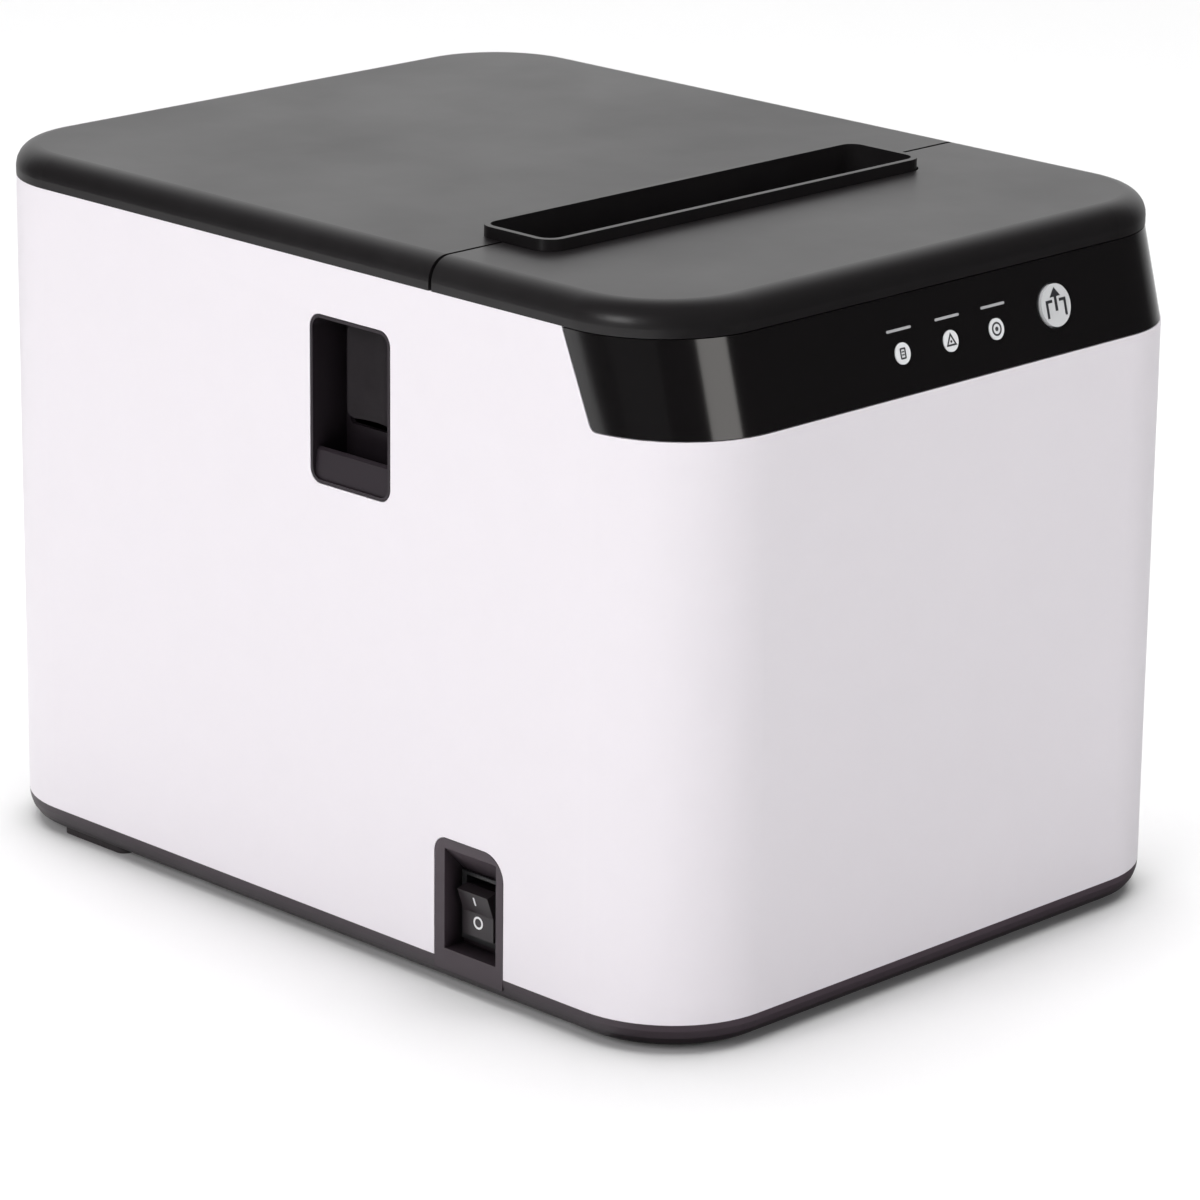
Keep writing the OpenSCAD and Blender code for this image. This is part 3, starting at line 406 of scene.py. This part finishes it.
low = area("base_front_fill", (-0.15, -1.6, 0.28), (0, -0.1, 0.006), 0.9, 0.4, 14.0, (1, 0.96, 1), glossy=False)
only_base = bpy.data.collections.new("base_only")
only_base.objects.link(N["base_tray"])
low.light_linking.receiver_collection = only_base

world = bpy.data.worlds.new("studio")
sc.world = world
world.use_nodes = True
nt = world.node_tree
for n in list(nt.nodes):
    nt.nodes.remove(n)
wo = nt.nodes.new("ShaderNodeOutputWorld"); bg = nt.nodes.new("ShaderNodeBackground")
tc = nt.nodes.new("ShaderNodeTexCoord"); dot = nt.nodes.new("ShaderNodeVectorMath"); dot.operation = "DOT_PRODUCT"
dot.inputs[1].default_value = Vector((0.66, 0.7, 0.28)).normalized()
mr = nt.nodes.new("ShaderNodeMapRange")
mr.interpolation_type = "SMOOTHSTEP"
mr.inputs["From Min"].default_value = 0.45; mr.inputs["From Max"].default_value = 1.0
mr.inputs["To Min"].default_value = 0.05; mr.inputs["To Max"].default_value = 0.93
nt.links.new(tc.outputs["Generated"], dot.inputs[0]); nt.links.new(dot.outputs["Value"], mr.inputs["Value"])
nt.links.new(mr.outputs[0], bg.inputs["Strength"]); nt.links.new(bg.outputs[0], wo.inputs[0])
bg.inputs["Color"].default_value = (1, 1, 1, 1)

cam_d = bpy.data.cameras.new("camera")
cam = bpy.data.objects.new("camera", cam_d)
sc.collection.objects.link(cam)
yaw, pitch, roll = -0.7900136, 0.3063310, 0.0113580
back = Vector((math.sin(yaw) * math.cos(pitch), -math.cos(yaw) * math.cos(pitch), math.sin(pitch)))
right = (-back).cross(Vector((0, 0, 1))).normalized()
up = right.cross(-back)
r2 = math.cos(roll) * right + math.sin(roll) * up
u2 = -math.sin(roll) * right + math.cos(roll) * up
pos = Vector((-0.7126159, -0.6148545 - 0.0975, 0.3688990 + 0.0014))
cam.matrix_world = Matrix(((r2.x, u2.x, back.x, pos.x), (r2.y, u2.y, back.y, pos.y), (r2.z, u2.z, back.z, pos.z), (0, 0, 0, 1)))
cam_d.sensor_width = 36
cam_d.lens = 5336.506 / 1200 * 36
cam_d.clip_end = 30
sc.camera = cam
sc.view_settings.view_transform = "Standard"
